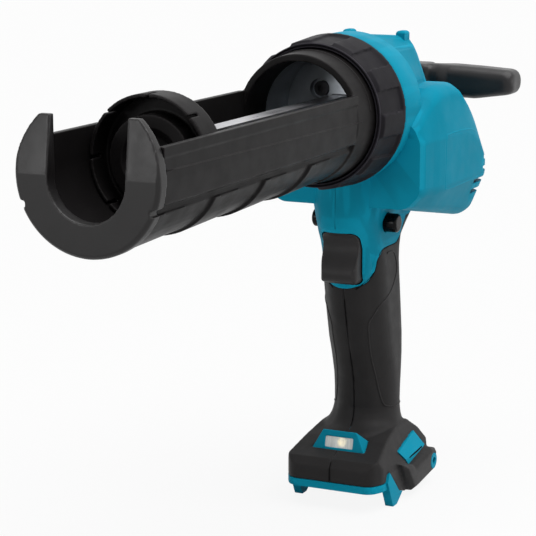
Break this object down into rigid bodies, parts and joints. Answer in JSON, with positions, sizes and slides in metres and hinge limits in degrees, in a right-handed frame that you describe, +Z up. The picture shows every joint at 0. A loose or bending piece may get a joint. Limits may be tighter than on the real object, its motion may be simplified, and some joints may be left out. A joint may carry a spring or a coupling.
{
  "type": "cordless caulking tool",
  "caption": "Pistol-grip power caulking tool: open cartridge holder, toothed push rod with piston, ring nut, gear drive in a split housing and battery rails under the grip.",
  "frame": {"origin": "under the grip on the housing's split plane, on the level that the battery rails stand on", "axes": "+X along the push rod from the nozzle end to the pull handle, +Z up along the grip, Y across the housing halves with -Y on the pull handle's side"},
  "size_m": [0.3475, 0.0996, 0.2322],
  "materials": {
    "teal_housing": "satin",
    "black_plastic": "satin",
    "handle_plastic": "satin",
    "soft_cover": "matte",
    "rod_steel": "zinc plated",
    "gear_steel": "machined",
    "screw_steel": "blackened",
    "case_aluminium": "die cast",
    "bush_bronze": "plain",
    "lens": "clear",
    "board": "matte"
  },
  "bodies": {
    "tool_body": {"holder_channel": "black_plastic", "holder_front": "black_plastic", "gear_case_nose": "case_aluminium", "gear_case_body": "case_aluminium", "case_screws": "screw_steel", "side_plate": "gear_steel", "bush_left": "bush_bronze", "bush_right": "bush_bronze", "ring_gear": "gear_steel", "motor_can": "gear_steel", "motor_cap": "black_plastic", "housing_screws": "screw_steel", "housing_left": "teal_housing", "housing_right": "teal_housing", "grip_cover_left": "soft_cover", "grip_cover_right": "soft_cover", "switch_block": "black_plastic", "lamp_bezel": "teal_housing", "lamp_lens": "lens", "lamp_board": "board", "terminal_block": "black_plastic", "terminal_blades": "bush_bronze", "hook_insert_left": "teal_housing", "hook_insert_right": "teal_housing"},
    "push_rod": {"rod_rack": "rod_steel", "piston": "black_plastic", "piston_screw": "screw_steel", "rear_handle": "handle_plastic", "handle_pin": "screw_steel"},
    "pinion": {"pinion_shaft": "gear_steel", "rack_pinion": "gear_steel", "clutch_sleeve": "gear_steel"},
    "final_wheel": {"final_gear": "gear_steel"},
    "motor_rotor": {"rotor": "gear_steel", "armature": "gear_steel", "fan": "black_plastic"},
    "first_carrier": {"first_carrier": "gear_steel"},
    "second_carrier": {"second_carrier": "gear_steel", "output_pinion": "gear_steel"},
    "trigger": {"trigger": "black_plastic"},
    "lock_button": {"lock_button": "black_plastic"},
    "collar_ring": {"collar_ring": "black_plastic"},
    "first_planet_1": {"first_planet_1": "gear_steel"},
    "first_planet_2": {"first_planet_2": "gear_steel"},
    "first_planet_3": {"first_planet_3": "gear_steel"},
    "second_planet_1": {"second_planet_1": "gear_steel"},
    "second_planet_2": {"second_planet_2": "gear_steel"},
    "second_planet_3": {"second_planet_3": "gear_steel"}
  },
  "joints": [
    {"name": "rod_slide", "type": "slide", "parent": "tool_body", "child": "push_rod", "axis": [1, 0, 0], "range_m": [-0.001, 0.172]},
    {"name": "pinion_turn", "type": "hinge", "parent": "tool_body", "child": "pinion", "pos_m": [0.005, 0, 0.1802], "axis": [0, 1, 0], "range_deg": [-6.46, 939.56]},
    {"name": "motor_spin", "type": "hinge", "parent": "tool_body", "child": "motor_rotor", "pos_m": [0.03163, 0, 0.17155], "axis": [0, 1, 0], "continuous": true},
    {"name": "first_carrier_turn", "type": "hinge", "parent": "tool_body", "child": "first_carrier", "pos_m": [0.03163, 0, 0.17155], "axis": [0, 1, 0], "continuous": true},
    {"name": "second_carrier_turn", "type": "hinge", "parent": "tool_body", "child": "second_carrier", "pos_m": [0.03163, 0, 0.17155], "axis": [0, 1, 0], "continuous": true},
    {"name": "final_gear_turn", "type": "hinge", "parent": "tool_body", "child": "final_wheel", "pos_m": [0.005, 0, 0.1802], "axis": [0, 1, 0], "continuous": true},
    {"name": "trigger_pull", "type": "slide", "parent": "tool_body", "child": "trigger", "axis": [1, 0, 0], "range_m": [0, 0.007], "stiffness_N_per_m": 900, "springref_m": -0.004},
    {"name": "lock_push", "type": "slide", "parent": "tool_body", "child": "lock_button", "axis": [0, 1, 0], "range_m": [-0.003, 0.003]},
    {"name": "collar_turn", "type": "hinge", "parent": "tool_body", "child": "collar_ring", "pos_m": [-0.046, 0, 0.196], "axis": [-1, 0, 0], "range_deg": [0, 90]},
    {"name": "first_planet_1_turn", "type": "hinge", "parent": "first_carrier", "child": "first_planet_1", "pos_m": [0.04063, 0, 0.17155], "axis": [0, 1, 0], "continuous": true},
    {"name": "second_planet_1_turn", "type": "hinge", "parent": "second_carrier", "child": "second_planet_1", "pos_m": [0.04063, 0, 0.17155], "axis": [0, 1, 0], "continuous": true},
    {"name": "first_planet_2_turn", "type": "hinge", "parent": "first_carrier", "child": "first_planet_2", "pos_m": [0.02713, 0, 0.16375], "axis": [0, 1, 0], "continuous": true},
    {"name": "second_planet_2_turn", "type": "hinge", "parent": "second_carrier", "child": "second_planet_2", "pos_m": [0.02713, 0, 0.16375], "axis": [0, 1, 0], "continuous": true},
    {"name": "first_planet_3_turn", "type": "hinge", "parent": "first_carrier", "child": "first_planet_3", "pos_m": [0.02713, 0, 0.17934], "axis": [0, 1, 0], "continuous": true},
    {"name": "second_planet_3_turn", "type": "hinge", "parent": "second_carrier", "child": "second_planet_3", "pos_m": [0.02713, 0, 0.17934], "axis": [0, 1, 0], "continuous": true}
  ],
  "couplings": [
    {"joint": "pinion_turn", "follows": "rod_slide", "rad_per_m": 95.238},
    {"joint": "first_carrier_turn", "follows": "motor_spin", "ratio": 0.2},
    {"joint": "second_carrier_turn", "follows": "motor_spin", "ratio": 0.04},
    {"joint": "final_gear_turn", "follows": "motor_spin", "ratio": -0.010909},
    {"joint": "first_planet_1_turn", "follows": "motor_spin", "ratio": -0.53333},
    {"joint": "second_planet_1_turn", "follows": "motor_spin", "ratio": -0.10667},
    {"joint": "first_planet_2_turn", "follows": "motor_spin", "ratio": -0.53333},
    {"joint": "second_planet_2_turn", "follows": "motor_spin", "ratio": -0.10667},
    {"joint": "first_planet_3_turn", "follows": "motor_spin", "ratio": -0.53333},
    {"joint": "second_planet_3_turn", "follows": "motor_spin", "ratio": -0.10667}
  ]
}
